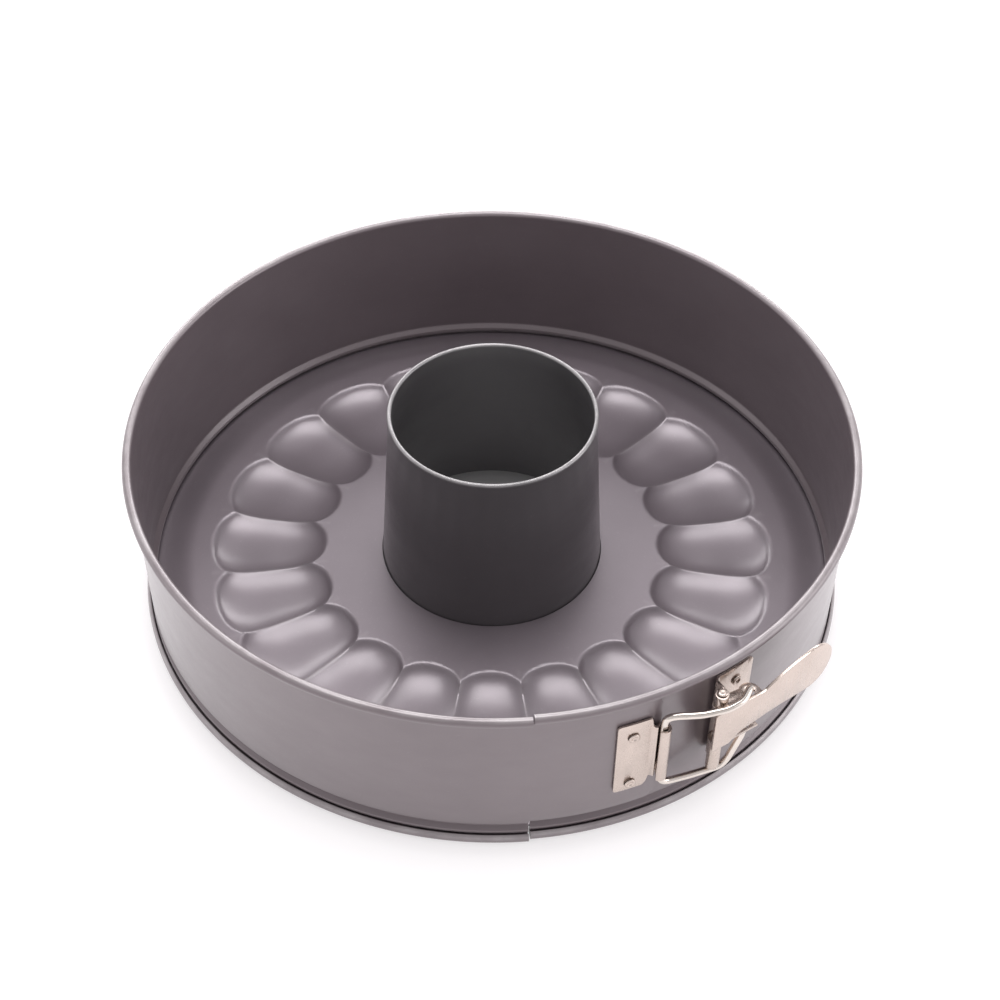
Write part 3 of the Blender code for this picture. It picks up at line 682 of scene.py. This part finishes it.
def folded(name, path, outline, holes, thickness, surface):
    """Cut a flat sheet (distance along the plan path, height), then fold it along the path."""
    builder = bmesh.new()
    fill_outline(builder, [[(s, z, 0.0) for s, z in loop] for loop in [outline] + holes])
    lengths = plan_length(path)
    for place in lengths[1:-1]:
        geometry = list(builder.verts) + list(builder.edges) + list(builder.faces)
        bmesh.ops.bisect_plane(builder, geom=geometry, dist=0.000001, plane_co=(place, 0.0, 0.0),
                               plane_no=(1.0, 0.0, 0.0))
    flat = list(builder.faces)
    bmesh.ops.recalc_face_normals(builder, faces=flat)
    if flat[0].normal.z < 0.0:
        bmesh.ops.reverse_faces(builder, faces=flat)
    for vert in extruded(builder, flat):
        vert.co.z = thickness
    sides = normals_2d(path)
    for vert in builder.verts:
        s, z, depth = vert.co
        place, side = along_path(path, lengths, sides, s)
        place = place + side * (depth - thickness / 2)
        vert.co = latch(place.x, place.y, z)
    bmesh.ops.remove_doubles(builder, verts=builder.verts, dist=0.01 * MM)
    return finish_mesh(name, builder, surface)


def along_path(path, lengths, sides, s):
    """Point and normal at a distance along a path."""
    s = min(max(s, 0.0), lengths[-1])
    for index in range(len(path) - 1):
        if s <= lengths[index + 1] + 1e-9:
            share = (s - lengths[index]) / (lengths[index + 1] - lengths[index])
            place = path[index].lerp(path[index + 1], share)
            side = sides[index].lerp(sides[index + 1], share).normalized()
            return place, side
    return path[-1], sides[-1]


def rounded(corners, radii, steps=5):
    """Closed 2-D outline with rounded corners."""
    result = []
    count = len(corners)
    for index, (corner, radius) in enumerate(zip(corners, radii)):
        corner = Vector(corner)
        before = Vector(corners[index - 1])
        after = Vector(corners[(index + 1) % count])
        if radius <= 0.0:
            result.append(tuple(corner))
            continue
        start = corner + (before - corner).normalized() * radius
        stop = corner + (after - corner).normalized() * radius
        result += [tuple(p) for p in bend(start, corner, stop, steps)]
    return result


def circle(s, z, radius, steps=20):
    """Closed 2-D outline of a round hole."""
    turns = [2 * math.pi * k / steps for k in range(steps)]
    return [(s + radius * math.cos(turn), z + radius * math.sin(turn)) for turn in turns]


def wall_out(along, radius):
    """Radial distance of a round wall at a tangent distance."""
    return math.sqrt(radius * radius - along * along)


def catch_plate(surface):
    """Plate on the outer end, its free edge rolled into the open curl that holds the bail."""
    radius = WALL_RADIUS + SPIRAL_STEP + STEEL / 2 + SHEET_GAP + PLATE / 2
    reach = WIRE + 0.4 * MM + PLATE / 2
    centre = Vector((CURL_ALONG, CURL_OUT))
    start, stop = CURL_ALONG - CATCH_WIDTH, CURL_ALONG - reach * 1.5
    path = []
    for step in range(9):
        along = start + (stop - start) * step / 8
        path.append(Vector((along, wall_out(along, radius))))
    first = arc(centre, reach, 215.0, 515.0, 30)
    joint = [path[-1].lerp(first[0], t) + Vector((0.0, -0.08 * MM * math.sin(math.pi * t)))
             for t in (0.35, 0.7)]
    path = path + joint + first
    lengths = plan_length(path)
    plain = lengths[8]
    total = lengths[-1]
    low, high = CATCH_FOOT, CATCH_TOP
    curl_low, curl_high = low + 5.0 * MM, low + 31.0 * MM
    outline = rounded([(0.0, low), (plain - 1.6 * MM, low), (plain - 0.2 * MM, low + 1.6 * MM),
                       (plain + 0.6 * MM, curl_low), (total, curl_low), (total, curl_high),
                       (plain + 0.9 * MM, curl_high), (plain + 0.2 * MM, high), (0.0, high)],
                      [r * MM for r in (1.3, 0.6, 0.6, 0.5, 0.3, 0.3, 0.5, 0.9, 1.3)])
    rivet_s = CATCH_WIDTH * 0.36
    holes = [circle(rivet_s, z, RIVET_HOLE) for z in (low + 3.4 * MM, high - 7.0 * MM)]
    made = folded("latch_catch", path, outline, holes, PLATE, surface)
    soften(made, SOFT_EDGE)
    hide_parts("catch_plate")
    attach(made, "ring")
    return made


def turned(builder, levels, foot, direction, steps=32):
    """Turned shape from (distance, radius) levels along a direction."""
    turn = direction.to_track_quat("Z", "Y").to_matrix().to_4x4()
    place = Matrix.Translation(foot) @ turn
    loops = []
    for distance, radius in levels:
        loops.append([place @ Vector((x, y, distance)) for x, y in circle(0.0, 0.0, radius, steps)])
    rows = loft(builder, loops)
    builder.faces.new(rows[0])
    builder.faces.new(rows[-1])


def rivet(name, node, body, surface):
    """Semi-tubular rivet: rolled rim around a small hollow, shank through the sheets."""
    low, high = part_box(node)
    middle = (low + high) / 2
    direction = Vector((middle.x, middle.y, 0.0)).normalized()
    reach = [v.co.dot(direction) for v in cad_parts[node].data.vertices]
    tip = max(reach)
    depth = tip - min(reach)
    side = Vector((-direction.y, direction.x, 0.0))
    centre = direction * tip + side * middle.dot(side) + Vector((0.0, 0.0, middle.z))
    head = [(-0.5, 1.3), (-0.5, 1.9), (-0.38, 2.0), (-0.2, 1.92), (-0.06, 1.7), (0.0, 1.4), (-0.05, 1.15),
            (-0.22, 0.95), (-0.42, 0.8), (-0.5, 0.4)]
    levels = [(-depth, 1.15 * MM), (-depth + 0.1 * MM, 1.3 * MM)]
    levels += [(distance * MM, radius * MM) for distance, radius in head]
    builder = bmesh.new()
    turned(builder, levels, centre, direction)
    made = finish_mesh(name, builder, surface)
    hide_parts(node)
    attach(made, body)
    return made


def bracket(surface):
    """Plate on the inner end that stands out and rolls into knuckles above and below the lever's ears."""
    radius = WALL_RADIUS + STEEL / 2 + SHEET_GAP + PLATE / 2
    reach = PIN_RADIUS + KNUCKLE_GAP + PLATE / 2
    roll_steps = 30
    far = 18.5 * MM
    near = reach + 2.0 * PLATE
    centre = Vector((0.0, PIVOT_OUT))
    flat = []
    for step in range(7):
        along = far + (near - far) * step / 6
        flat.append(Vector((along, wall_out(along, radius))))
    bend = Vector((reach, wall_out(near, radius) + 1.2 * PLATE))
    corners = [flat[-2], flat[-1], bend, Vector((reach, PIVOT_OUT))]
    curve = fillet(corners, [1.2 * MM, 1.0 * MM], 5)
    path = flat[:-2] + curve[:-1] + arc(centre, reach, 0.0, 300.0, roll_steps)
    lengths = plan_length(path)
    total = lengths[-1]
    low, high = LATCH_FOOT, BRACKET_TOP
    window = lengths[-1 - roll_steps] - 2.6 * MM
    window_low, window_high = LEVER_FOOT - KNUCKLE_GAP, EAR_TOP
    outline = rounded([(0.0, low), (total, low), (total, window_low), (window, window_low),
                       (window, window_high), (total, window_high), (total, high), (0.0, high)],
                      [r * MM for r in (2.0, 0.3, 0.4, 0.8, 0.8, 0.4, 0.3, 2.0)])
    rivet_s = far * 0.38
    holes = [circle(rivet_s, z, RIVET_HOLE) for z in (low + 7.0 * MM, high - 7.0 * MM)]
    made = folded("latch_bracket", path, outline, holes, PLATE, surface)
    soften(made, SOFT_EDGE)
    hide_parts("lever_bracket")
    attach(made, "lever_mount")
    return made


def pin(surface):
    """Pin with a peened head at each end."""
    foot = latch(0.0, PIVOT_OUT, PIN_LOW)
    tall = PIN_HIGH - PIN_LOW
    levels = [(0.0, 1.3 * MM), (0.15 * MM, 1.65 * MM), (0.4 * MM, 1.75 * MM), (0.7 * MM, 1.6 * MM),
              (0.7 * MM, PIN_RADIUS), (tall - 0.7 * MM, PIN_RADIUS), (tall - 0.7 * MM, 1.6 * MM),
              (tall - 0.45 * MM, 1.75 * MM), (tall - 0.2 * MM, 1.6 * MM), (tall - 0.05 * MM, 1.1 * MM),
              (tall - 0.15 * MM, 0.5 * MM)]
    builder = bmesh.new()
    turned(builder, levels, foot, Vector((0.0, 0.0, 1.0)))
    made = finish_mesh("latch_pin", builder, surface)
    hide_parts("pivot_pin")
    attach(made, "lever_mount")
    return made


# ---------------------------------------------------------------- lever and bail

def lever(surface):
    """Stamped lever: face and thumb tab from one sheet, with two ears folded back."""
    path = []
    for step in range(LEVER_COLUMNS + 1):
        along = LEVER_NEAR + (LEVER_FAR - LEVER_NEAR) * step / LEVER_COLUMNS
        curve = max(along - TAB_START, 0.0)
        path.append(Vector((along, FACE_OUT - curve * curve / (2.0 * WALL_RADIUS))))
    total = plan_length(path)[-1]
    corner = 0.8 * MM
    half = (TAB_HIGH - TAB_LOW) / 2
    middle = (TAB_HIGH + TAB_LOW) / 2
    outline = [(0.0, LEVER_FOOT + corner), (corner, LEVER_FOOT), (2.6 * MM - LEVER_NEAR, LEVER_FOOT)]
    outline += curve_points(LOWER_EDGE, 3)
    for angle in range(-90, 91, 10):
        turn = math.radians(angle)
        outline.append((total - half + half * math.cos(turn), middle + half * math.sin(turn)))
    outline += curve_points(UPPER_EDGE, 3)
    outline += [(corner, EAR_TOP), (0.0, EAR_TOP - corner)]
    outline = [(s, z - TAB_SLOPE * max(s - (TAB_START - LEVER_NEAR), 0.0)) for s, z in drop_repeats(outline)]
    made = folded("latch_lever", path, outline, [], LEVER_SHEET, surface)
    ears = [ear("lever_ear_upper", UPPER_EAR, surface), ear("lever_ear_lower", LOWER_EAR, surface)]
    for piece in ears:
        modifier = made.modifiers.new(piece.name, "BOOLEAN")
        modifier.operation = "UNION"
        modifier.solver = "EXACT"
        modifier.object = piece
    apply_modifiers(made)
    for piece in ears:
        bpy.data.objects.remove(piece, do_unlink=True)
    soften(made, 0.18 * MM)
    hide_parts("lever")
    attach(made, "lever")
    return made


def curve_points(places, steps):
    """Smooth run through (tangent distance, height) places in millimetres, as places on the lever's sheet."""
    points = [Vector(p) * MM for p in places]
    result = []
    last = len(points) - 1
    for index in range(last):
        p0, p1 = points[max(index - 1, 0)], points[index]
        p2, p3 = points[index + 1], points[min(index + 2, last)]
        for step in range(steps):
            t = step / steps
            p = 0.5 * ((2 * p1) + (p2 - p0) * t + (2 * p0 - 5 * p1 + 4 * p2 - p3) * t * t
                       + (3 * p1 - p0 - 3 * p2 + p3) * t ** 3)
            result.append((p.x - LEVER_NEAR, p.y))
    result.append((points[-1].x - LEVER_NEAR, points[-1].y))
    return result


def drop_repeats(points):
    """Leave out points that nearly coincide with the one before."""
    result = []
    for p in points:
        if not result or math.hypot(p[0] - result[-1][0], p[1] - result[-1][1]) > 0.12 * MM:
            result.append(p)
    return result


def ear(name, height, surface):
    """Ear folded back from the face, round around the pin and around the bail's end."""
    pivot = Vector((0.0, PIVOT_OUT))
    hole = Vector((HOLE_ALONG, HOLE_OUT))
    outline = arc(pivot, PIN_EAR_RADIUS, 180.0, 275.0, 9) + arc(hole, BAIL_EAR_RADIUS, 228.0, 360.0, 12)
    outline += [Vector((HOLE_ALONG + BAIL_EAR_RADIUS, FACE_OUT)), Vector((-PIN_EAR_RADIUS, FACE_OUT))]
    pin_hole = arc(pivot, PIN_RADIUS + 0.3 * MM, 0.0, 345.0, 23)
    bail_hole = arc(hole, WIRE + 0.5 * MM, 0.0, 345.0, 23)
    builder = bmesh.new()
    flat = fill_outline(builder, [[latch(p.x, p.y, height) for p in loop]
                                  for loop in (outline, pin_hole, bail_hole)])
    for vert in extruded(builder, flat):
        vert.co.z += LEVER_SHEET
    return finish_mesh(name, builder, surface)


def bail(surface):
    """Wire bail, bent with smooth corners, as a tube of round sections."""
    upper, lower = BAIL_TOP, BAIL_FOOT
    # The bail's upper run passes outside the bracket's upper knuckle
    clear = PIVOT_OUT + 1.9 * MM + PLATE / 2 + WIRE + 0.6 * MM
    route = [
        (HOLE_ALONG, HOLE_OUT, upper - 0.9 * MM),
        (HOLE_ALONG, HOLE_OUT, upper),
        (HOLE_ALONG * 0.55, clear - 0.2 * MM, upper),
        (0.0, clear, upper),
        (CURL_ALONG * 0.45, clear - 2.6 * MM, upper),
        (CURL_ALONG * 0.9, CURL_OUT + 1.4 * MM, upper),
        (CURL_ALONG, CURL_OUT, upper - 2.0 * MM),
        (CURL_ALONG, CURL_OUT, lower + 3.5 * MM),
        (CURL_ALONG * 0.88, CURL_OUT + 0.5 * MM, lower + 0.8 * MM),
        (CURL_ALONG * 0.4, CURL_OUT + 2.4 * MM, lower),
        (HOLE_ALONG * 0.28, HOLE_OUT - 0.6 * MM, lower),
        (HOLE_ALONG * 0.5, HOLE_OUT, lower + 2.6 * MM),
        (HOLE_ALONG * 0.96, HOLE_OUT, lower + 13.0 * MM),
        (HOLE_ALONG, HOLE_OUT, BAIL_LOWER_END),
    ]
    smooth = smooth_route([latch(*place) for place in route], BAIL_BEND, 8)
    builder = bmesh.new()
    loops = []
    side = None
    turns = [2 * math.pi * k / WIRE_STEPS for k in range(WIRE_STEPS)]
    count = len(smooth)
    for index, point in enumerate(smooth):
        way = (smooth[min(index + 1, count - 1)] - smooth[max(index - 1, 0)]).normalized()
        if side is None:
            side = way.orthogonal().normalized()
        side = (side - way * side.dot(way)).normalized()
        other = way.cross(side)
        loops.append([point + WIRE * (side * math.cos(turn) + other * math.sin(turn)) for turn in turns])
    rows = loft(builder, loops)
    builder.faces.new(rows[0])
    builder.faces.new(rows[-1])
    made = finish_mesh("latch_bail", builder, surface)
    soften(made, 0.2 * MM, 50.0)
    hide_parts("bail")
    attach(made, "bail")
    return made


def smooth_route(points, radius, steps):
    """Round each corner of a 3-D polyline."""
    result = [points[0]]
    for before, corner, after in zip(points, points[1:], points[2:]):
        reach_in = min(radius, (before - corner).length * 0.48)
        reach_out = min(radius, (after - corner).length * 0.48)
        start = corner + (before - corner).normalized() * reach_in
        stop = corner + (after - corner).normalized() * reach_out
        result += bend(start, corner, stop, steps)
    result.append(points[-1])
    return result


# ---------------------------------------------------------------- camera, floor and light

def camera():
    """Viewpoint at the photograph's angle: tilted down, then turned to the right, then rolled."""
    pitch, yaw, roll = (math.radians(angle) for angle in (CAMERA_PITCH, CAMERA_YAW, CAMERA_ROLL))
    right = Vector((1.0, 0.0, 0.0))
    ahead = Vector((0.0, math.cos(pitch), -math.sin(pitch)))
    up = Vector((0.0, math.sin(pitch), math.cos(pitch)))
    turned_ahead = ahead * math.cos(yaw) + right * math.sin(yaw)
    turned_right = right * math.cos(yaw) - ahead * math.sin(yaw)
    side = turned_right * math.cos(roll) + up * math.sin(roll)
    over = up * math.cos(roll) - turned_right * math.sin(roll)
    lens = bpy.data.cameras.new("camera")
    lens.sensor_width = SENSOR
    lens.lens = LENS
    made = bpy.data.objects.new("camera", lens)
    frame_turn = Matrix((side, over, -turned_ahead)).transposed().to_4x4()
    made.matrix_world = Matrix.Translation(Vector(CAMERA_PLACE)) @ frame_turn
    bpy.context.scene.collection.objects.link(made)
    bpy.context.scene.camera = made


def area(name, place, target_height, size, power):
    """Softbox that points at a height on the pan's axis."""
    light = bpy.data.lights.new(name, "AREA")
    light.shape = "RECTANGLE"
    light.size, light.size_y = size
    light.energy = power
    light.color = STUDIO_WHITE
    made = bpy.data.objects.new(name, light)
    made.location = place
    made.rotation_mode = "QUATERNION"
    made.rotation_quaternion = (Vector((0.0, 0.0, target_height)) - Vector(place)).to_track_quat("-Z", "Y")
    bpy.context.scene.collection.objects.link(made)


def backdrop():
    """World light: even from below and the sides, dimmer towards straight above."""
    world = bpy.data.worlds.new("studio")
    world.use_nodes = True
    tree = world.node_tree
    background = tree.nodes["Background"]
    ways = tree.nodes.new("ShaderNodeSeparateXYZ")
    tree.links.new(tree.nodes.new("ShaderNodeTexCoord").outputs["Generated"], ways.inputs["Vector"])
    ramp = tree.nodes.new("ShaderNodeValToRGB")
    ramp.color_ramp.interpolation = "EASE"
    for place, level in ((0.0, 0.72), (0.3, 0.76), (0.7, 0.74), (0.86, 0.52), (0.999, 0.36)):
        stop = ramp.color_ramp.elements[0] if place == 0.0 else ramp.color_ramp.elements.new(place)
        stop.color = (level, level * 0.975, level * 0.99, 1.0)
    ramp.color_ramp.elements.remove(ramp.color_ramp.elements[-1])
    tree.links.new(ways.outputs["Z"], ramp.inputs["Fac"])
    tree.links.new(ramp.outputs["Color"], background.inputs["Color"])
    background.inputs["Strength"].default_value = 1.0
    bpy.context.scene.world = world


def studio_floor():
    """White floor that glows outside the pan's footprint so that it stays white there: painted light that
    washes out its shadows, fading to a faint painted shadow at the pan's foot.
    """
    builder = bmesh.new()
    bmesh.ops.create_grid(builder, x_segments=8, y_segments=8, size=FLOOR_SIZE)
    surface, tree, shader = tree_of("studio_floor")
    place = tree.nodes.new("ShaderNodeTexCoord").outputs["Object"]
    tone = noise(tree, place, 3.0, 2.0, 0.5)
    colour = mix_colour(tree, tone, (0.44, 0.43, 0.435, 1.0), (0.46, 0.45, 0.455, 1.0))
    glowing = mix_colour(tree, tone, (0.985, 0.97, 0.978, 1.0), (1.0, 0.985, 0.992, 1.0))
    tree.links.new(colour, shader.inputs["Base Color"])
    shader.inputs["Roughness"].default_value = 0.6
    shader.inputs["Specular IOR Level"].default_value = 0.2
    ways = tree.nodes.new("ShaderNodeVectorMath")
    ways.operation = "LENGTH"
    tree.links.new(place, ways.inputs[0])
    # Painted light: the glow grows with distance from the pan's axis, washing out the floor's shadows and
    # leaving a faint painted shadow near the pan
    glow = remap(tree, ways.outputs["Value"], GLOW_START, GLOW_END,
                 GLOW_INSIDE, GLOW_OUTSIDE)
    tree.links.new(glowing, shader.inputs["Emission Color"])
    tree.links.new(glow, shader.inputs["Emission Strength"])
    floor = finish_mesh("studio_floor", builder, surface, 40.0)
    floor.location.z = CURL_FOOT


def studio():
    backdrop()
    area("back_softbox", (-0.1, 1.5, 0.75), 0.05, (1.9, 0.6), 18.0)
    area("top_softbox", (0.0, 0.32, 1.6), 0.02, (1.2, 0.8), 16.5)
    area("left_softbox", (-1.5, -0.1, 0.55), 0.05, (1.0, 0.9), 2.0)
    area("right_softbox", (1.5, -0.1, 0.55), 0.05, (1.0, 0.9), 7.0)
    studio_floor()
    bpy.context.scene.view_settings.view_transform = "Standard"
    bpy.context.scene.view_settings.look = "None"


def main():
    camera()
    studio()
    wall = coated_steel("coated_wall", (0.154, 0.124, 0.135, 1.0), (0.173, 0.140, 0.152, 1.0), 0.46)
    floor = coated_steel("coated_base", (0.172, 0.146, 0.164, 1.0), (0.193, 0.164, 0.184, 1.0), 0.42, 0.45)
    centre = coated_steel("coated_tube", (0.095, 0.090, 0.095, 1.0), (0.110, 0.104, 0.110, 1.0), 0.42)
    sheet = nickel("nickel_sheet", (0.60, 0.515, 0.465), 0.27, (1.0, 1.0, 0.06))
    wire = nickel("nickel_wire", (0.72, 0.66, 0.61), 0.17, (1.0, 1.0, 1.0))
    lever_half, hook_half = side_ring(wall)
    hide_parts("side_ring")
    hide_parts("side_ring")
    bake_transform(lever_half)
    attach(hook_half, "ring")
    base_plate(floor)
    tube(centre)
    catch_plate(sheet)
    rivet("catch_rivet_a", "catch_rivet_upper", "ring", sheet)
    rivet("catch_rivet_b", "catch_rivet_lower", "ring", sheet)
    bracket(sheet)
    rivet("bracket_rivet_a", "bracket_rivet_upper", "lever_mount", sheet)
    rivet("bracket_rivet_b", "bracket_rivet_lower", "lever_mount", sheet)
    pin(sheet)
    lever(sheet)
    bail(wire)


main()
bpy.context.view_layer.update()
